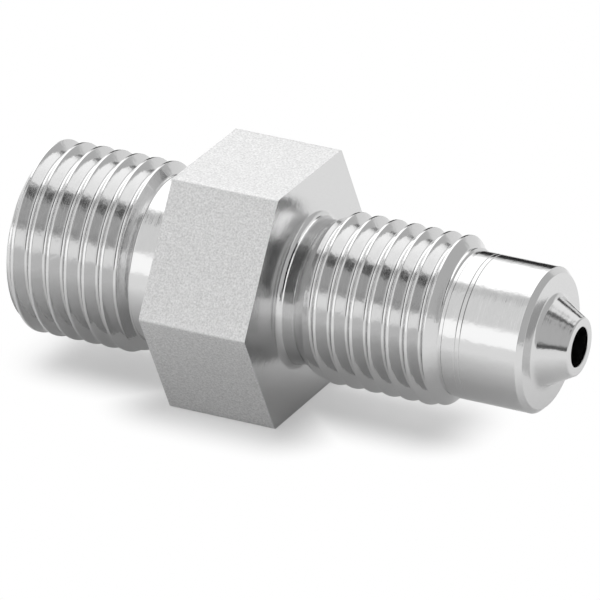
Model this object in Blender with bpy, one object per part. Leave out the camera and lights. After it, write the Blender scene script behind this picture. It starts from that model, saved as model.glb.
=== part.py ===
"""Adapter fitting, turned and milled from one hexagonal bar of stainless steel.

The part lies on one flat of its hexagon, with its axis along X. The stud end points to -X and the
coned nose to +X. The origin is under the middle of its length, at the height of the flat that it
rests on. It is modelled the way it is made: a turned blank, cut by the flats of the bar, with two
right-hand threads cut into it and a bore drilled through.
"""

import math

import bmesh
import bpy
from mathutils import Matrix, Vector

MM = 0.001
INCH = 0.0254
AXIS = Vector((1, 0, 0))

# Hexagon
HEX_ACROSS_FLATS = 0.625 * INCH
HEX_WIDTH = 7.45 * MM
HEX_CORNER_ROUND = 0.16 * MM

# Thread form of a 60 degree thread, as shares of the pitch
THREAD_HALF_ANGLE = math.radians(30)
THREAD_DEPTH_SHARE = 0.6134
CREST_FLAT_SHARE = 1 / 8
TOOL_RISE_SHARE = 0.08

# Stud with a 1/2-20 thread, measured from the hexagon's -X face
STUD_LENGTH = 11.40 * MM
STUD_DIAMETER = 12.58 * MM
STUD_PITCH = 0.05 * INCH
STUD_NECK_LENGTH = 2.60 * MM
STUD_NECK_CLEARANCE = 0.06 * MM
STUD_END_CHAMFER = 0.92 * MM
STUD_END_CHAMFER_ANGLE = math.radians(58)
STUD_TOOL_LEAD = 1.35 * MM

# Coned end with a 7/16-20 thread, measured from the hexagon's +X face
CONED_END_LENGTH = 18.95 * MM
CONED_DIAMETER = 11.06 * MM
CONED_PITCH = 0.05 * INCH
CONED_NECK_LENGTH = 1.28 * MM
LEAD_CHAMFER_ANGLE = math.radians(30)
CONED_THREAD_END = 10.62 * MM
CONED_TOOL_LEAD = 0.42 * MM
RUNOUT_ANGLE = math.radians(35)
RUNOUT_GROOVE_WIDTH = 0.30 * MM
RUNOUT_GROOVE_DEPTH = 0.07 * MM
SHANK_CLEARANCE = 0.03 * MM
SHANK_EDGE_CHAMFER = 0.33 * MM

# Cone that seals, and its tip
CONE_LENGTH = 1.99 * MM
CONE_HALF_ANGLE = math.radians(29)
CONE_ROOT_RADIUS = 0.45 * MM
TIP_WALL = 0.45 * MM
TIP_EDGE_RADIUS = 0.14 * MM

# Fillets where the necks meet the hexagon
NECK_FILLET = 0.50 * MM

# Through bore
BORE_DIAMETER = 2.60 * MM
BORE_MOUTH_CHAMFER = 0.04 * MM

# How far the solids that cut the part reach past it
CUT_MARGIN = 1 * MM

# Facets
TURN_SEGMENTS = 36
FILLET_STEPS = 4
TIP_STEPS = 2

# Values that follow from the ones above
STUD_ROOT_RADIUS = STUD_DIAMETER / 2 - THREAD_DEPTH_SHARE * STUD_PITCH
STUD_NECK_RADIUS = STUD_ROOT_RADIUS - STUD_NECK_CLEARANCE
CONED_ROOT_RADIUS = CONED_DIAMETER / 2 - THREAD_DEPTH_SHARE * CONED_PITCH
SHANK_RADIUS = CONED_ROOT_RADIUS - SHANK_CLEARANCE
AXIS_HEIGHT = HEX_ACROSS_FLATS / 2
OVERALL_LENGTH = STUD_LENGTH + HEX_WIDTH + CONED_END_LENGTH
STUD_END_X = -OVERALL_LENGTH / 2
HEX_STUD_X = STUD_END_X + STUD_LENGTH
HEX_CONED_X = HEX_STUD_X + HEX_WIDTH
TIP_X = HEX_CONED_X + CONED_END_LENGTH
FRONT_FACE_X = TIP_X - CONE_LENGTH
FLANGE_RADIUS = HEX_ACROSS_FLATS / math.sqrt(3) + CUT_MARGIN


def clear_scene():
    for obj in list(bpy.data.objects):
        bpy.data.objects.remove(obj)


def steel_material():
    material = bpy.data.materials.new("stainless_steel")
    material.use_nodes = True
    shader = material.node_tree.nodes["Principled BSDF"]
    shader.inputs["Base Color"].default_value = (0.62, 0.62, 0.61, 1)
    shader.inputs["Metallic"].default_value = 1.0
    shader.inputs["Roughness"].default_value = 0.28
    return material


def new_object(name, bm, material=None):
    mesh = bpy.data.meshes.new(name)
    bm.to_mesh(mesh)
    bm.free()
    mesh.shade_smooth()
    mesh.set_sharp_from_angle(angle=math.radians(20))
    if material:
        mesh.materials.append(material)
    obj = bpy.data.objects.new(name, mesh)
    obj.location.z = AXIS_HEIGHT
    bpy.context.scene.collection.objects.link(obj)
    return obj


def as_cutter(obj):
    obj.hide_render = True
    obj.display_type = "WIRE"
    return obj


def arc(centre, radius, start, end, steps):
    """Points (x, r) on an arc round centre, from the start angle to the end angle."""
    cx, cr = centre
    angles = [start + (end - start) * k / steps for k in range(steps + 1)]
    return [(cx + radius * math.cos(a), cr + radius * math.sin(a)) for a in angles]


def stud_profile():
    """The stud's outline from its end to the hexagon, with a relief neck behind the thread."""
    crest = STUD_DIAMETER / 2
    neck = STUD_NECK_RADIUS
    end_length = STUD_END_CHAMFER / math.tan(STUD_END_CHAMFER_ANGLE)
    neck_start = HEX_STUD_X - STUD_NECK_LENGTH
    wall_start = neck_start - (crest - neck) * math.tan(THREAD_HALF_ANGLE)
    fillet_centre = (HEX_STUD_X - NECK_FILLET, neck + NECK_FILLET)
    return [
        (STUD_END_X, crest - STUD_END_CHAMFER),
        (STUD_END_X + end_length, crest),
        (wall_start, crest),
        (neck_start, neck),
        *arc(fillet_centre, NECK_FILLET, -math.pi / 2, 0, FILLET_STEPS),
    ]


def flange_profile():
    """A disc wider than the hexagon's corners, which the bar's flats cut to a hexagon."""
    return [(HEX_STUD_X, FLANGE_RADIUS), (HEX_CONED_X, FLANGE_RADIUS)]


def coned_thread_profile():
    """From the hexagon to the plain shank: neck, lead chamfer, thread crest and run-out."""
    crest = CONED_DIAMETER / 2
    neck = SHANK_RADIUS
    groove = SHANK_RADIUS - RUNOUT_GROOVE_DEPTH
    neck_end = HEX_CONED_X + CONED_NECK_LENGTH
    lead_end = neck_end + (crest - neck) / math.tan(LEAD_CHAMFER_ANGLE)
    crest_end = HEX_CONED_X + CONED_THREAD_END
    groove_start = crest_end + (crest - groove) * math.tan(RUNOUT_ANGLE)
    groove_end = groove_start + RUNOUT_GROOVE_WIDTH
    fillet_centre = (HEX_CONED_X + NECK_FILLET, neck + NECK_FILLET)
    return [
        *arc(fillet_centre, NECK_FILLET, math.pi, 1.5 * math.pi, FILLET_STEPS),
        (neck_end, neck),
        (lead_end, crest),
        (crest_end, crest),
        (groove_start, groove),
        (groove_end - RUNOUT_GROOVE_DEPTH, groove),
        (groove_end, SHANK_RADIUS),
    ]


def cone_profile():
    """From the shank's edge to the tip: front face, filleted cone and rounded tip."""
    normal = math.pi / 2 - CONE_HALF_ANGLE

    # The tip's edge is an arc that leaves the cone and ends on the tip's flat face.
    tip_face_r = BORE_DIAMETER / 2 + BORE_MOUTH_CHAMFER + TIP_WALL
    tip_centre = (TIP_X - TIP_EDGE_RADIUS, tip_face_r)
    tip_edge = arc(tip_centre, TIP_EDGE_RADIUS, normal, 0, TIP_STEPS)

    # The fillet at the cone's root touches the front face and the cone.
    edge_x, edge_r = tip_edge[0]
    root_r = edge_r + (edge_x - FRONT_FACE_X) * math.tan(CONE_HALF_ANGLE)
    reach = CONE_ROOT_RADIUS * math.tan(normal / 2)
    root_centre = (FRONT_FACE_X + CONE_ROOT_RADIUS, root_r + reach)
    root_fillet = arc(root_centre, CONE_ROOT_RADIUS, math.pi, math.pi + normal, FILLET_STEPS)
    return [
        (FRONT_FACE_X - SHANK_EDGE_CHAMFER, SHANK_RADIUS),
        (FRONT_FACE_X, SHANK_RADIUS - SHANK_EDGE_CHAMFER),
        *root_fillet,
        *tip_edge,
    ]


def bore_profile():
    """Back along the bore, from the tip to the stud's end."""
    bore = BORE_DIAMETER / 2
    mouth = bore + BORE_MOUTH_CHAMFER
    return [
        (TIP_X, mouth),
        (TIP_X - BORE_MOUTH_CHAMFER, bore),
        (STUD_END_X + BORE_MOUTH_CHAMFER, bore),
        (STUD_END_X, mouth),
    ]


def turned_blank(material):
    """The part before its flats and threads: the outline of one wall, spun a full turn."""
    outline = [
        *stud_profile(),
        *flange_profile(),
        *coned_thread_profile(),
        *cone_profile(),
        *bore_profile(),
    ]
    bm = bmesh.new()
    points = [bm.verts.new((x, 0, r)) for x, r in outline]
    edges = [bm.edges.new((a, b)) for a, b in zip(points, points[1:] + points[:1])]
    bmesh.ops.spin(
        bm,
        geom=points + edges,
        cent=(0, 0, 0),
        axis=AXIS,
        angle=2 * math.pi,
        steps=TURN_SEGMENTS,
        use_merge=True,
    )
    bmesh.ops.recalc_face_normals(bm, faces=bm.faces)
    return new_object("adapter_body", bm, material)


def hex_bar():
    """The bar that the part is made from, longer than the part, with one flat facing down."""
    bm = bmesh.new()
    bmesh.ops.create_cone(
        bm,
        cap_ends=True,
        segments=6,
        radius1=HEX_ACROSS_FLATS / math.sqrt(3),
        radius2=HEX_ACROSS_FLATS / math.sqrt(3),
        depth=OVERALL_LENGTH + 4 * CUT_MARGIN,
    )
    bmesh.ops.rotate(bm, matrix=Matrix.Rotation(math.radians(90), 3, "Y"), verts=bm.verts)
    long_edges = [e for e in bm.edges if abs(e.verts[0].co.x - e.verts[1].co.x) > HEX_WIDTH]
    bmesh.ops.bevel(
        bm,
        geom=long_edges,
        affect="EDGES",
        offset=HEX_CORNER_ROUND,
        segments=2,
        profile=0.5,
        material=-1,
    )
    return as_cutter(new_object("hex_bar", bm))


def threading_tool(name, crest_diameter, pitch, start_x, end_x):
    """The path of a threading tool: its trapezium, swept along a right-hand helix.

    The tool starts above the axis at start_x, and passes end_x by less than one step.
    """
    crest = crest_diameter / 2
    root = crest - THREAD_DEPTH_SHARE * pitch
    outer = crest + TOOL_RISE_SHARE * pitch
    half_mouth = (1 - CREST_FLAT_SHARE) * pitch / 2
    half_root = half_mouth - (crest - root) * math.tan(THREAD_HALF_ANGLE)
    half_outer = half_mouth + (outer - crest) * math.tan(THREAD_HALF_ANGLE)
    tool = [(-half_root, root), (half_root, root), (half_outer, outer), (-half_outer, outer)]

    steps = math.ceil((end_x - start_x) / pitch * TURN_SEGMENTS)
    bm = bmesh.new()
    points = [bm.verts.new((start_x + x, 0, r)) for x, r in tool]
    section = [bm.edges.new((a, b)) for a, b in zip(points, points[1:] + points[:1])]
    bmesh.ops.spin(
        bm,
        geom=points + section,
        cent=(0, 0, 0),
        axis=AXIS,
        dvec=AXIS * pitch / TURN_SEGMENTS,
        angle=2 * math.pi * steps / TURN_SEGMENTS,
        steps=steps,
    )
    bmesh.ops.holes_fill(bm, edges=bm.edges)
    bmesh.ops.triangulate(bm, faces=bm.faces)
    bmesh.ops.recalc_face_normals(bm, faces=bm.faces)
    return as_cutter(new_object(name, bm))


def stud_thread_tool():
    """It starts off the end of the stud and stops over the relief neck."""
    return threading_tool(
        "stud_thread_tool",
        STUD_DIAMETER,
        STUD_PITCH,
        start_x=STUD_END_X - STUD_TOOL_LEAD,
        end_x=HEX_STUD_X - STUD_NECK_LENGTH / 2,
    )


def coned_thread_tool():
    """It starts over the neck by the hexagon and stops over the plain shank."""
    return threading_tool(
        "coned_thread_tool",
        CONED_DIAMETER,
        CONED_PITCH,
        start_x=HEX_CONED_X + CONED_NECK_LENGTH - CONED_TOOL_LEAD,
        end_x=HEX_CONED_X + CONED_THREAD_END + 1.2 * CONED_PITCH,
    )


def add_boolean(obj, other, operation):
    modifier = obj.modifiers.new(other.name, "BOOLEAN")
    modifier.object = other
    modifier.operation = operation
    modifier.solver = "EXACT"


def main():
    clear_scene()
    body = turned_blank(steel_material())
    add_boolean(body, hex_bar(), "INTERSECT")
    add_boolean(body, stud_thread_tool(), "DIFFERENCE")
    add_boolean(body, coned_thread_tool(), "DIFFERENCE")


main()
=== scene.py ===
import math

import bmesh
import bpy
from mathutils import Euler, Matrix, Vector


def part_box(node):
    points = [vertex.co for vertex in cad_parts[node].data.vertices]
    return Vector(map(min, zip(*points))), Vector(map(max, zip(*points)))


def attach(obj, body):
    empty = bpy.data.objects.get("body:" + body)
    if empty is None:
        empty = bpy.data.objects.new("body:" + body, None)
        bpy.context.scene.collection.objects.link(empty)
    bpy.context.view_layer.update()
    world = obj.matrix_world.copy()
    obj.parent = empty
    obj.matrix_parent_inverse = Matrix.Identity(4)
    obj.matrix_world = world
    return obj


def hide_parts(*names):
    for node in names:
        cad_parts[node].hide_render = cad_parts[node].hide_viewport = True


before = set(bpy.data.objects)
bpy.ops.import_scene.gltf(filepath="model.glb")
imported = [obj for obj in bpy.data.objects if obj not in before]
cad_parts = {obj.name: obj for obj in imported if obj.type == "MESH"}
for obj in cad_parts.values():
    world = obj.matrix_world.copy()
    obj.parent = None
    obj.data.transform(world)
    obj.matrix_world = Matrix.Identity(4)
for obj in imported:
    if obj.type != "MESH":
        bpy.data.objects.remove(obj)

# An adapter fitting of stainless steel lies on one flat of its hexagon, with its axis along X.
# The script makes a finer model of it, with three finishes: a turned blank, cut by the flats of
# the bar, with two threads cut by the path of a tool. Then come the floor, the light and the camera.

MM = 0.001
AXIS = Vector((1, 0, 0))

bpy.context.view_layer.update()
LOW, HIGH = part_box("adapter_body")

# Hexagon. Its flats lie at the bottom and the top of the part.
HEX_ACROSS_FLATS = HIGH.z - LOW.z
AXIS_HEIGHT = LOW.z + HEX_ACROSS_FLATS / 2
HEX_WIDTH = 7.45 * MM
HEX_CORNER_ROUND = 0.16 * MM
HEX_CORNER_SEGMENTS = 6

# Thread form of a 60 degree thread, as shares of the pitch
THREAD_HALF_ANGLE = math.radians(30)
THREAD_DEPTH_SHARE = 0.6134
CREST_FLAT_SHARE = 1 / 8
CREST_ROUND = 0.05 * MM
PITCH = 25.4 / 20 * MM

# Stud, measured from the hexagon's -X face
STUD_LENGTH = 11.40 * MM
STUD_RADIUS = 6.29 * MM
STUD_NECK_LENGTH = 2.60 * MM
STUD_NECK_CLEARANCE = 0.06 * MM
STUD_END_CHAMFER = 0.92 * MM
STUD_END_CHAMFER_ANGLE = math.radians(58)
STUD_GROOVE_LEAD = 1.35 * MM

# Coned end, measured from the hexagon's +X face
CONED_RADIUS = 5.53 * MM
CONED_NECK_LENGTH = 1.28 * MM
LEAD_CHAMFER_ANGLE = math.radians(30)
CONED_THREAD_END = 10.62 * MM
CONED_GROOVE_LEAD = 0.42 * MM
RUNOUT_ANGLE = math.radians(35)
RUNOUT_GROOVE_WIDTH = 0.30 * MM
RUNOUT_GROOVE_DEPTH = 0.07 * MM
SHANK_CLEARANCE = 0.03 * MM
SHANK_EDGE_CHAMFER = 0.33 * MM
SHANK_LINE_PLACES = (12.40 * MM, 12.70 * MM)
SHANK_LINE_WIDTH = 0.06 * MM
SHANK_LINE_DEPTH = 0.03 * MM

# Cone that seals, its tip, and the bore
CONE_LENGTH = 1.99 * MM
CONE_HALF_ANGLE = math.radians(29)
CONE_ROOT_RADIUS = 0.45 * MM
TIP_WALL = 0.45 * MM
TIP_EDGE_RADIUS = 0.14 * MM
BORE_RADIUS = 1.30 * MM
BORE_MOUTH_CHAMFER = 0.04 * MM

# Fillets and broken edges
NECK_FILLET = 0.50 * MM
EDGE_BREAK = 0.04 * MM
FINE_BREAK = EDGE_BREAK / 2
NECK_END_ROUND = 3 * EDGE_BREAK
GROOVE_ROUND = 2 * EDGE_BREAK

# Surface finish
TURNING_MARK_WIDTH = 0.08 * MM
TURNING_MARK_DEPTH = 0.003 * MM
WAVE_LENGTH = 0.6 * MM
WAVE_DEPTH = 0.014 * MM
PIT_WIDTH = 0.12 * MM
PIT_DEPTH = 0.02 * MM

# Facets and shading
TURN_SEGMENTS = 144
STEP_ANGLE = math.radians(15)
HOLD = 0.015 * MM
SHARP_ANGLE = math.radians(25)
SQUARE_TO_AXIS = 0.99

# What the cuts need: stock and turns for the threads, room past the part, and the distance under
# which two points are one
THREAD_STOCK = 0.3 * MM
THREAD_OVERRUN = 1.2 * PITCH
SPARE_TURNS = 2
CUT_MARGIN = 1 * MM
WELD = 0.0001 * MM

# Places along the axis
STUD_END_X = LOW.x
HEX_STUD_X = STUD_END_X + STUD_LENGTH
HEX_CONED_X = HEX_STUD_X + HEX_WIDTH
TIP_X = HIGH.x
FRONT_FACE_X = TIP_X - CONE_LENGTH

# Radii that follow from the threads
STUD_ROOT_RADIUS = STUD_RADIUS - THREAD_DEPTH_SHARE * PITCH
STUD_NECK_RADIUS = STUD_ROOT_RADIUS - STUD_NECK_CLEARANCE
SHANK_RADIUS = CONED_RADIUS - THREAD_DEPTH_SHARE * PITCH - SHANK_CLEARANCE
FLANGE_RADIUS = HEX_ACROSS_FLATS / math.sqrt(3) + CUT_MARGIN


def srgb(hex_colour):
    """A colour written as sRGB hex, in the linear values that Blender uses."""
    channels = [int(hex_colour[i:i + 2], 16) / 255 for i in (0, 2, 4)]
    linear = [c / 12.92 if c <= 0.04045 else ((c + 0.055) / 1.055) ** 2.4 for c in channels]
    return (*linear, 1.0)


def add_node(tree, kind, settings=None, inputs=None):
    """Adds a node. An input is a value, an output of a node, or a node, whose first output it takes."""
    node = tree.nodes.new(kind)
    for name, value in (settings or {}).items():
        setattr(node, name, value)
    for name, value in (inputs or {}).items():
        source = value.outputs[0] if isinstance(value, bpy.types.Node) else value
        if isinstance(source, bpy.types.NodeSocket):
            tree.links.new(source, node.inputs[name])
        else:
            node.inputs[name].default_value = source
    return node


def new_material(name):
    """A new material, with its node tree and its shader."""
    material = bpy.data.materials.new(name)
    material.use_nodes = True
    tree = material.node_tree
    return material, tree, tree.nodes["Principled BSDF"]


def turned_stainless(name, roughness):
    """Stainless steel turned on a lathe: bright, with fine tool marks that run round the axis."""
    material, tree, shader = new_material(name)
    point = add_node(tree, "ShaderNodeTexCoord").outputs["Object"]
    from_axis = add_node(tree, "ShaderNodeVectorMath", inputs={0: point, 1: (0, 0, -AXIS_HEIGHT)})
    parts = add_node(tree, "ShaderNodeSeparateXYZ", inputs={"Vector": from_axis})
    across = add_node(tree, "ShaderNodeCombineXYZ", inputs={"Y": parts.outputs["Y"], "Z": parts.outputs["Z"]})
    radius = add_node(tree, "ShaderNodeVectorMath", {"operation": "LENGTH"}, {0: across})
    # The tool moves along the axis on the cylinders and along the radius on the faces.
    travel = add_node(tree, "ShaderNodeMath", inputs={0: parts, 1: radius.outputs["Value"]})
    marks = add_node(
        tree,
        "ShaderNodeTexNoise",
        {"noise_dimensions": "1D"},
        {"W": travel, "Scale": 1 / TURNING_MARK_WIDTH, "Detail": 2.0},
    )
    waves = add_node(
        tree,
        "ShaderNodeTexNoise",
        inputs={"Vector": point, "Scale": 1 / WAVE_LENGTH, "Detail": 2.0},
    )
    wavy = add_node(tree, "ShaderNodeBump", inputs={"Height": waves, "Distance": WAVE_DEPTH})
    marked = add_node(
        tree,
        "ShaderNodeBump",
        inputs={"Height": marks, "Distance": TURNING_MARK_DEPTH, "Normal": wavy},
    )
    tree.links.new(marked.outputs["Normal"], shader.inputs["Normal"])
    shader.inputs["Base Color"].default_value = srgb("d6d6d6")
    shader.inputs["Metallic"].default_value = 1.0
    shader.inputs["Roughness"].default_value = roughness
    return material


def blasted_stainless():
    """The bar's flats, blasted with fine beads: an even grain of shallow pits, grey and matt, with painted
    shade darkening the pits.
    """
    material, tree, shader = new_material("stainless_steel_bead_blasted")
    point = add_node(tree, "ShaderNodeTexCoord").outputs["Object"]
    pits = add_node(
        tree,
        "ShaderNodeTexNoise",
        inputs={"Vector": point, "Scale": 1 / PIT_WIDTH, "Detail": 3.0, "Roughness": 0.6},
    )
    bump = add_node(tree, "ShaderNodeBump", inputs={"Height": pits, "Distance": PIT_DEPTH})
    # The grey is darker down in the pits and lighter on their tops, from the same noise as the bumps: the
    # steel's own grey, with painted shade in the pits.
    # A Mix node's inputs 6 and 7 are its two colours, and its output 2 is the colour they make.
    painted_pit_shade = add_node(
        tree,
        "ShaderNodeMix",
        {"data_type": "RGBA"},
        {"Factor": pits, 6: srgb("a6a6a6"), 7: srgb("ffffff")},
    )
    tree.links.new(painted_pit_shade.outputs[2], shader.inputs["Base Color"])
    tree.links.new(bump.outputs["Normal"], shader.inputs["Normal"])
    shader.inputs["Metallic"].default_value = 1.0
    shader.inputs["Roughness"].default_value = 0.54
    return material


def new_object(name, bm, material):
    """Puts what was built into the scene, with one finish."""
    mesh = bpy.data.meshes.new(name)
    bm.to_mesh(mesh)
    bm.free()
    mesh.materials.append(material)
    obj = bpy.data.objects.new(name, mesh)
    bpy.context.scene.collection.objects.link(obj)
    return obj


def rounded(before, corner, after):
    """The points (x, r) of one corner (x, r, radius), rounded to its radius."""
    point = Vector(corner[:2])
    radius = corner[2]
    if radius == 0:
        return [point]
    to_before = (Vector(before[:2]) - point).normalized()
    to_after = (Vector(after[:2]) - point).normalized()
    half_corner = to_before.angle(to_after) / 2
    centre = point + (to_before + to_after).normalized() * radius / math.sin(half_corner)
    start = point + to_before * radius / math.tan(half_corner) - centre
    sweep = math.copysign(math.pi - 2 * half_corner, -to_before.cross(to_after))
    steps = max(2, round(abs(sweep) / STEP_ANGLE))
    arc = [centre + Matrix.Rotation(sweep * k / steps, 2) @ start for k in range(steps + 1)]
    # A point close by on each side keeps the shading of the straight stretches straight.
    return [arc[0] + to_before * HOLD, *arc, arc[-1] + to_after * HOLD]


def rounded_outline(corners):
    """The points of a closed outline from its corners."""
    befores = corners[-1:] + corners[:-1]
    afters = corners[1:] + corners[:1]
    return [p for three in zip(befores, corners, afters) for p in rounded(*three)]


def add_line(bm, outline, closed):
    """Adds the outline above the axis, as points joined by edges."""
    points = [bm.verts.new((x, 0, r)) for x, r in outline]
    nexts = points[1:] + points[:1] if closed else points[1:]
    return points + [bm.edges.new(pair) for pair in zip(points, nexts)]


def stud_corners():
    """From the stud's end to the hexagon: end chamfer, stock for the thread, neck and fillet."""
    stock = STUD_RADIUS + THREAD_STOCK
    end_length = (STUD_END_CHAMFER + THREAD_STOCK) / math.tan(STUD_END_CHAMFER_ANGLE)
    neck_start = HEX_STUD_X - STUD_NECK_LENGTH
    wall_start = neck_start - (stock - STUD_NECK_RADIUS) * math.tan(THREAD_HALF_ANGLE)
    return [
        (STUD_END_X, STUD_RADIUS - STUD_END_CHAMFER, EDGE_BREAK),
        (STUD_END_X + end_length, stock, 0),
        (wall_start, stock, 0),
        (neck_start, STUD_NECK_RADIUS, NECK_END_ROUND),
        (HEX_STUD_X, STUD_NECK_RADIUS, NECK_FILLET),
    ]


def flange_corners():
    """A disc wider than the hexagon's corners, which the bar's flats cut to a hexagon."""
    return [(HEX_STUD_X, FLANGE_RADIUS, 0), (HEX_CONED_X, FLANGE_RADIUS, 0)]


def coned_thread_corners():
    """From the hexagon to the shank: neck, lead chamfer, stock for the thread, run-out, groove."""
    stock = CONED_RADIUS + THREAD_STOCK
    groove = SHANK_RADIUS - RUNOUT_GROOVE_DEPTH
    neck_end = HEX_CONED_X + CONED_NECK_LENGTH
    lead_end = neck_end + (stock - SHANK_RADIUS) / math.tan(LEAD_CHAMFER_ANGLE)
    stock_end = HEX_CONED_X + CONED_THREAD_END - THREAD_STOCK * math.tan(RUNOUT_ANGLE)
    groove_start = stock_end + (stock - groove) * math.tan(RUNOUT_ANGLE)
    groove_end = groove_start + RUNOUT_GROOVE_WIDTH
    return [
        (HEX_CONED_X, SHANK_RADIUS, NECK_FILLET),
        (neck_end, SHANK_RADIUS, NECK_END_ROUND),
        (lead_end, stock, 0),
        (stock_end, stock, 0),
        (groove_start, groove, GROOVE_ROUND),
        (groove_end - RUNOUT_GROOVE_DEPTH, groove, FINE_BREAK),
        (groove_end, SHANK_RADIUS, FINE_BREAK),
    ]


def shank_line_corners():
    """Two fine grooves round the shank, as the tool leaves where it stops."""
    corners = []
    for place in SHANK_LINE_PLACES:
        start = HEX_CONED_X + place
        corners.append((start, SHANK_RADIUS, 0))
        corners.append((start + SHANK_LINE_WIDTH / 2, SHANK_RADIUS - SHANK_LINE_DEPTH, 0))
        corners.append((start + SHANK_LINE_WIDTH, SHANK_RADIUS, 0))
    return corners


def cone_corners():
    """From the shank's edge to the bore: edge chamfer, front face, filleted cone, rounded tip."""
    tip_face = BORE_RADIUS + BORE_MOUTH_CHAMFER + TIP_WALL
    slope = math.tan(CONE_HALF_ANGLE)
    tip_corner = tip_face + TIP_EDGE_RADIUS * math.tan((math.pi / 2 - CONE_HALF_ANGLE) / 2)
    return [
        (FRONT_FACE_X - SHANK_EDGE_CHAMFER, SHANK_RADIUS, EDGE_BREAK),
        (FRONT_FACE_X, SHANK_RADIUS - SHANK_EDGE_CHAMFER, EDGE_BREAK),
        (FRONT_FACE_X, tip_corner + CONE_LENGTH * slope, CONE_ROOT_RADIUS),
        (TIP_X, tip_corner, TIP_EDGE_RADIUS),
    ]


def bore_corners():
    """Back along the bore, from its mouth in the tip to the stud's end."""
    mouth = BORE_RADIUS + BORE_MOUTH_CHAMFER
    return [
        (TIP_X, mouth, FINE_BREAK),
        (TIP_X - BORE_MOUTH_CHAMFER, BORE_RADIUS, FINE_BREAK),
        (STUD_END_X + BORE_MOUTH_CHAMFER, BORE_RADIUS, FINE_BREAK),
        (STUD_END_X, mouth, FINE_BREAK),
    ]


def turned_blank(turned, faced):
    """The whole turned shape. Its faces that are square to the axis have the faced finish."""
    corners = [
        *stud_corners(),
        *flange_corners(),
        *coned_thread_corners(),
        *shank_line_corners(),
        *cone_corners(),
        *bore_corners(),
    ]
    bm = bmesh.new()
    bmesh.ops.spin(
        bm,
        geom=add_line(bm, rounded_outline(corners), closed=True),
        cent=(0, 0, 0),
        axis=AXIS,
        angle=2 * math.pi,
        steps=TURN_SEGMENTS,
        use_merge=True,
    )
    bmesh.ops.recalc_face_normals(bm, faces=bm.faces)
    for face in bm.faces:
        face.material_index = int(abs(face.normal.x) > SQUARE_TO_AXIS)
    blank = new_object("blank", bm, turned)
    blank.data.materials.append(faced)
    return blank


def hex_bar(material):
    """The bar that the part is made from, longer than the part, with one flat facing down."""
    bm = bmesh.new()
    bmesh.ops.create_cone(
        bm,
        cap_ends=True,
        segments=6,
        radius1=HEX_ACROSS_FLATS / math.sqrt(3),
        radius2=HEX_ACROSS_FLATS / math.sqrt(3),
        depth=TIP_X - STUD_END_X + 4 * CUT_MARGIN,
    )
    bmesh.ops.rotate(bm, matrix=Matrix.Rotation(math.radians(90), 3, "Y"), verts=bm.verts)
    long_edges = [e for e in bm.edges if abs(e.verts[0].co.x - e.verts[1].co.x) > HEX_WIDTH]
    bmesh.ops.bevel(
        bm,
        geom=long_edges,
        affect="EDGES",
        offset=HEX_CORNER_ROUND,
        segments=HEX_CORNER_SEGMENTS,
        profile=0.5,
        material=-1,
    )
    return new_object("hex_bar", bm, material)


def thread_line(crest, start_x, grooves):
    """The thread's outline above the axis, over a number of grooves with rounded roots."""
    crest_edge = (1 - CREST_FLAT_SHARE) * PITCH / 2
    root = crest - THREAD_DEPTH_SHARE * PITCH
    root_edge = crest_edge - (crest - root) * math.tan(THREAD_HALF_ANGLE)
    # The flanks would meet here. A round that touches both of them reaches just to the root.
    flanks_meet = root - root_edge / math.tan(THREAD_HALF_ANGLE)
    root_round = root_edge * math.cos(THREAD_HALF_ANGLE) / (1 - math.sin(THREAD_HALF_ANGLE))
    corners = []
    for k in range(grooves):
        middle = start_x + k * PITCH
        corners.append((middle - crest_edge, crest, CREST_ROUND))
        corners.append((middle, flanks_meet, root_round))
        corners.append((middle + crest_edge, crest, CREST_ROUND))
    return [p for three in zip(corners, corners[1:], corners[2:]) for p in rounded(*three)]


def close_round(bm, x, end_x):
    """Closes the open rim at x by a sleeve that is wider than the part and reaches past its end."""
    wide = FLANGE_RADIUS + CUT_MARGIN
    rim = [e for e in bm.edges if e.is_boundary and all(abs(v.co.x - x) < WELD for v in e.verts)]
    for next_x, radius in ((x, wide), (end_x, wide), (end_x, 0)):
        geom = bmesh.ops.extrude_edge_only(bm, edges=rim)["geom"]
        rim = [g for g in geom if isinstance(g, bmesh.types.BMEdge)]
        for v in (g for g in geom if isinstance(g, bmesh.types.BMVert)):
            v.co = (next_x, *(v.co.yz.normalized() * radius))


def threaded_envelope(name, material, crest, start_x, from_x, to_x):
    """What the threading tool leaves between two places. It reaches past the part elsewhere."""
    # There are turns to spare at each end, since one turn moves the line by one pitch.
    first = math.floor((from_x - start_x) / PITCH) - SPARE_TURNS
    last = math.ceil((to_x - start_x) / PITCH) + SPARE_TURNS
    line = thread_line(crest, start_x + first * PITCH, last - first)
    bm = bmesh.new()
    bmesh.ops.spin(
        bm,
        geom=add_line(bm, line, closed=False),
        cent=(0, 0, 0),
        axis=AXIS,
        dvec=AXIS * PITCH / TURN_SEGMENTS,
        angle=2 * math.pi,
        steps=TURN_SEGMENTS,
    )
    bmesh.ops.remove_doubles(bm, verts=bm.verts, dist=WELD)
    for x, side in ((from_x, -1), (to_x, 1)):
        bmesh.ops.bisect_plane(
            bm,
            geom=bm.verts[:] + bm.edges[:] + bm.faces[:],
            dist=WELD / 10,
            plane_co=(x, 0, 0),
            plane_no=AXIS * side,
            clear_outer=True,
        )
    close_round(bm, from_x, STUD_END_X - CUT_MARGIN)
    close_round(bm, to_x, TIP_X + CUT_MARGIN)
    bmesh.ops.remove_doubles(bm, verts=bm.verts, dist=WELD)
    bmesh.ops.triangulate(bm, faces=bm.faces)
    bmesh.ops.recalc_face_normals(bm, faces=bm.faces)
    return new_object(name, bm, material)


def stud_thread(material):
    """It runs from off the stud's end to over the relief neck."""
    return threaded_envelope(
        "stud_thread",
        material,
        STUD_RADIUS,
        start_x=STUD_END_X - STUD_GROOVE_LEAD,
        from_x=STUD_END_X - CUT_MARGIN / 2,
        to_x=HEX_STUD_X - STUD_NECK_LENGTH / 2,
    )


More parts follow.
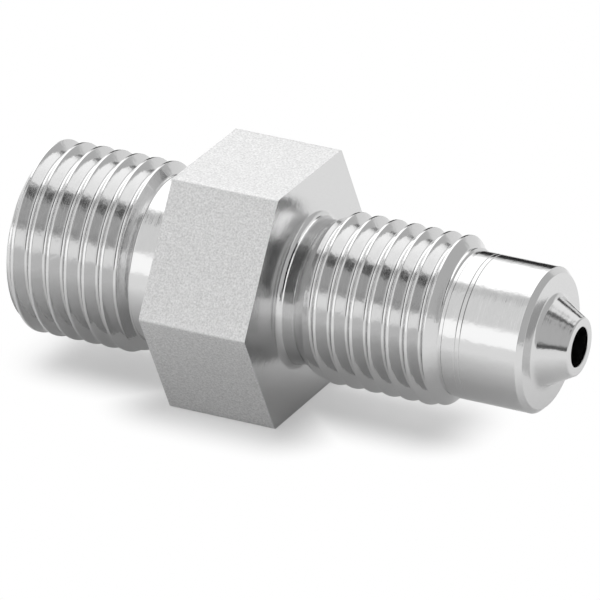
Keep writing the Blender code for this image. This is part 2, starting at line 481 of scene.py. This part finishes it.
def coned_thread(material):
    """It runs from over the neck by the hexagon to over the plain shank."""
    return threaded_envelope(
        "coned_thread",
        material,
        CONED_RADIUS,
        start_x=HEX_CONED_X + CONED_NECK_LENGTH - CONED_GROOVE_LEAD,
        from_x=HEX_CONED_X + CONED_NECK_LENGTH / 2,
        to_x=HEX_CONED_X + CONED_THREAD_END + THREAD_OVERRUN,
    )


def keep_inside(obj, other):
    """Keeps what of obj lies inside another solid. The new faces take that solid's finish."""
    modifier = obj.modifiers.new(other.name, "BOOLEAN")
    modifier.object = other
    modifier.operation = "INTERSECT"
    modifier.solver = "EXACT"
    modifier.material_mode = "TRANSFER"


def make_fitting():
    """Cuts the blank to shape and puts it in the place of the solid."""
    # The faces are a little duller than the rest, since the tool cuts them slower towards the axis.
    turned = turned_stainless("stainless_steel_turned", roughness=0.13)
    faced = turned_stainless("stainless_steel_faced", roughness=0.20)
    blasted = blasted_stainless()
    blank = turned_blank(turned, faced)
    envelopes = [hex_bar(blasted), stud_thread(turned), coned_thread(turned)]
    for envelope in envelopes:
        keep_inside(blank, envelope)
    graph = bpy.context.evaluated_depsgraph_get()
    mesh = bpy.data.meshes.new_from_object(blank.evaluated_get(graph))
    bm = bmesh.new()
    bm.from_mesh(mesh)
    # The cuts leave some points on top of each other.
    bmesh.ops.remove_doubles(bm, verts=bm.verts, dist=WELD)
    bmesh.ops.translate(bm, vec=(0, 0, AXIS_HEIGHT), verts=bm.verts)
    bm.to_mesh(mesh)
    bm.free()
    mesh.shade_smooth()
    mesh.set_sharp_from_angle(angle=SHARP_ANGLE)
    for obj in (blank, *envelopes):
        bpy.data.objects.remove(obj)
    fitting = bpy.data.objects.new("adapter_fitting", mesh)
    bpy.context.scene.collection.objects.link(fitting)
    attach(fitting, "root")
    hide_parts("adapter_body")
    return fitting


# The paper lies a hair under the part, so that the two don't share a plane. It is 6 metres square,
# and its back edge is this far behind the part's axis.
FLOOR_DROP = 0.02 * MM
FLOOR_SIZE = 6.0
FLOOR_BACK = 55 * MM

# The middle and half the size of the places where the paper keeps the part's shadow: under the
# stud, under the coned end, and round the flat that the part lies on.
SHADOW_PLACES = [
    ((-11.5 * MM, 0, 0), (4.5 * MM, 1.3 * MM, 0)),
    ((4 * MM, 1 * MM, 0), (4.5 * MM, 1 * MM, 0)),
    (((HEX_STUD_X + HEX_CONED_X) / 2, 0, 0), (HEX_WIDTH / 2, HEX_ACROSS_FLATS / math.sqrt(12), 0)),
]

# For each kind of ray, how white the paper is in that shadow, and from where to where past it the
# paper turns pure white.
WHITE_PAPER = {
    "Is Camera Ray": (0.33, 0, 5 * MM),
    "Is Glossy Ray": (0.0, 8 * MM, 28 * MM),
}


def distance_past_shadow(tree):
    """How far a place on the paper is from the nearer of the places with shadow."""
    point = add_node(tree, "ShaderNodeTexCoord").outputs["Object"]
    nearest = FLOOR_SIZE
    for middle, half_size in SHADOW_PLACES:
        offset = add_node(tree, "ShaderNodeVectorMath", {"operation": "SUBTRACT"}, {0: point, 1: middle})
        spread = add_node(tree, "ShaderNodeVectorMath", {"operation": "ABSOLUTE"}, {0: offset})
        past = add_node(tree, "ShaderNodeVectorMath", {"operation": "SUBTRACT"}, {0: spread, 1: half_size})
        outside = add_node(tree, "ShaderNodeVectorMath", {"operation": "MAXIMUM"}, {0: past})
        length = add_node(tree, "ShaderNodeVectorMath", {"operation": "LENGTH"}, {0: outside})
        distances = {0: nearest, 1: length.outputs["Value"]}
        nearest = add_node(tree, "ShaderNodeMath", {"operation": "MINIMUM"}, distances)
    return nearest


def backdrop_paper():
    """Matt white paper. Away from the part the camera and the metal see it as pure white."""
    material, tree, shader = new_material("backdrop_paper")
    shader.inputs["Base Color"].default_value = srgb("e9e9e9")
    shader.inputs["Roughness"].default_value = 0.9
    away = distance_past_shadow(tree)
    paths = add_node(tree, "ShaderNodeLightPath").outputs
    white = 0.0
    for seen_by, (near_white, start, end) in WHITE_PAPER.items():
        share = add_node(
            tree,
            "ShaderNodeMapRange",
            {"interpolation_type": "SMOOTHSTEP"},
            {"Value": away, "From Min": start, "From Max": end, "To Min": near_white},
        )
        added = {0: share, 1: paths[seen_by], 2: white}
        white = add_node(tree, "ShaderNodeMath", {"operation": "MULTIPLY_ADD"}, added)
    glow = add_node(tree, "ShaderNodeEmission")
    mixed = add_node(tree, "ShaderNodeMixShader", inputs={0: white, 1: shader, 2: glow})
    tree.links.new(mixed.outputs[0], tree.nodes["Material Output"].inputs["Surface"])
    return material


def make_floor():
    """A pale sheet, which shows as white and keeps the part's shadow. Its back edge is close behind
    the part, so that the metal sees the dark gap past it."""
    bm = bmesh.new()
    bmesh.ops.create_grid(bm, x_segments=1, y_segments=1, size=FLOOR_SIZE / 2)
    bmesh.ops.translate(bm, vec=(0, FLOOR_BACK - FLOOR_SIZE / 2, -FLOOR_DROP), verts=bm.verts)
    floor = new_object("floor", bm, backdrop_paper())


# The studio is a tent of pale cloth with lit and dark panels in it. Each panel has its light, then
# where it stands along the part's axis, from -1 at the stud's side to 1 at the nose's side, then
# its angles in degrees from the front over the top to the back. A later panel covers earlier ones.
TENT_LIGHT = 0.88
PANELS = [
    # Lit, low in front
    (1.38, (-1.2, 0.25), (-20, 27.5)),
    (1.55, (-1.2, -0.50), (-20, 24)),
    # Lit, above the front
    (1.35, (-0.28, 0.12), (27.5, 75)),
    # Lit, from the top to the back
    (1.20, (-1.2, -0.58), (90, 156)),
    (1.68, (-0.58, 0.05), (90, 156)),
    (1.90, (-0.34, 0.05), (90, 148)),
    (1.10, (0.05, 0.38), (90, 158)),
    # Grey cloth above the front on the stud's side, with a dark slit and a lighter strip
    (0.52, (-1.2, -0.50), (26, 40)),
    (0.64, (-1.2, -0.50), (40, 71)),
    (0.08, (-0.66, -0.45), (70, 89)),
    (0.74, (-0.45, -0.30), (74, 84)),
    # Black cards low at the back
    (0.02, (-0.53, -0.14), (166, 192)),
    (0.0, (0.0, 0.12), (155, 170)),
    # Grey cloth on the nose's side
    (0.58, (0.38, 1.2), (-95, 275)),
    (0.60, (0.31, 0.42), (122, 158)),
    (0.45, (0.12, 0.48), (-20, 15)),
    # Black cards on the nose's side, in front and over the top
    (0.02, (0.12, 0.48), (14, 86)),
    (0.02, (0.12, 0.43), (84, 96)),
    (0.08, (0.48, 0.65), (-12, 15)),
    (0.04, (0.37, 0.46), (97, 111)),
]
# Half the width of a panel's soft edges, along the axis and in degrees
SOFT_ALONG = 0.03
SOFT_ANGLE = 4.5


def within(tree, value, limits, soft):
    """1 where a value lies between its limits and 0 elsewhere, with a soft step at each."""
    low, high = limits
    middle = (low + high) / 2
    offset = add_node(tree, "ShaderNodeMath", {"operation": "SUBTRACT"}, {0: value, 1: middle})
    off_middle = add_node(tree, "ShaderNodeMath", {"operation": "ABSOLUTE"}, {0: offset})
    limit = high - middle
    step = {"Value": off_middle, "From Min": limit + soft, "From Max": limit - soft}
    return add_node(tree, "ShaderNodeMapRange", {"interpolation_type": "SMOOTHSTEP"}, step)


def make_studio():
    """The light of the tent. The camera sees the tent as pure white."""
    world = bpy.data.worlds.new("studio")
    bpy.context.scene.world = world
    world.use_nodes = True
    tree = world.node_tree
    direction = add_node(tree, "ShaderNodeTexCoord").outputs["Generated"]
    parts = add_node(tree, "ShaderNodeSeparateXYZ", inputs={"Vector": direction}).outputs
    front = add_node(tree, "ShaderNodeMath", {"operation": "MULTIPLY"}, {0: parts["Y"], 1: -1.0})
    radians = add_node(tree, "ShaderNodeMath", {"operation": "ARCTAN2"}, {0: parts["Z"], 1: front})
    degrees = add_node(tree, "ShaderNodeMath", {"operation": "DEGREES"}, {0: radians})
    angle = add_node(tree, "ShaderNodeMath", {"operation": "WRAP"}, {0: degrees, 1: 270.0, 2: -90.0})
    light = TENT_LIGHT
    for panel_light, along, angles in PANELS:
        in_length = within(tree, parts["X"], along, SOFT_ALONG)
        in_angle = within(tree, angle, angles, SOFT_ANGLE)
        covered = add_node(tree, "ShaderNodeMath", {"operation": "MULTIPLY"}, {0: in_length, 1: in_angle})
        light = add_node(tree, "ShaderNodeMix", inputs={"Factor": covered, "A": light, "B": panel_light})
    by_camera = add_node(tree, "ShaderNodeLightPath").outputs["Is Camera Ray"]
    shown = add_node(tree, "ShaderNodeMix", inputs={"Factor": by_camera, "A": light, "B": 1.0})
    background = tree.nodes["Background"]
    background.inputs["Color"].default_value = (1, 1, 1, 1)
    tree.links.new(shown.outputs["Result"], background.inputs["Strength"])


# Camera, as the photograph was taken. Its lens and sensor are in millimetres, its sight in metres.
CAMERA_AZIMUTH = math.radians(25.61)
CAMERA_ELEVATION = math.radians(24.345)
CAMERA_ROLL = math.radians(0.897)
CAMERA_DISTANCE = 571.5 * MM
CAMERA_AIM_RIGHT = -0.523 * MM
CAMERA_AIM_UP = -0.6755 * MM
CAMERA_SIGHT = 20.0
FOCAL_LENGTH = 539.27
SENSOR_WIDTH = 36.0


def make_camera():
    """It looks past the middle of the hexagon's +X face, a little to the left of it and below it."""
    data = bpy.data.cameras.new("camera")
    data.sensor_width = SENSOR_WIDTH
    data.lens = FOCAL_LENGTH
    data.clip_end = CAMERA_SIGHT
    camera = bpy.data.objects.new("camera", data)
    bpy.context.scene.collection.objects.link(camera)
    turn = Euler((math.pi / 2 - CAMERA_ELEVATION, 0, CAMERA_AZIMUTH)).to_matrix()
    turn = turn @ Matrix.Rotation(CAMERA_ROLL, 3, "Z")
    hex_face = Vector((HEX_CONED_X, 0, AXIS_HEIGHT))
    offset = turn @ Vector((CAMERA_AIM_RIGHT, CAMERA_AIM_UP, CAMERA_DISTANCE))
    camera.matrix_world = Matrix.Translation(hex_face + offset) @ turn.to_4x4()
    bpy.context.scene.camera = camera


make_fitting()
make_floor()
make_studio()
make_camera()
bpy.context.scene.view_settings.view_transform = "Standard"
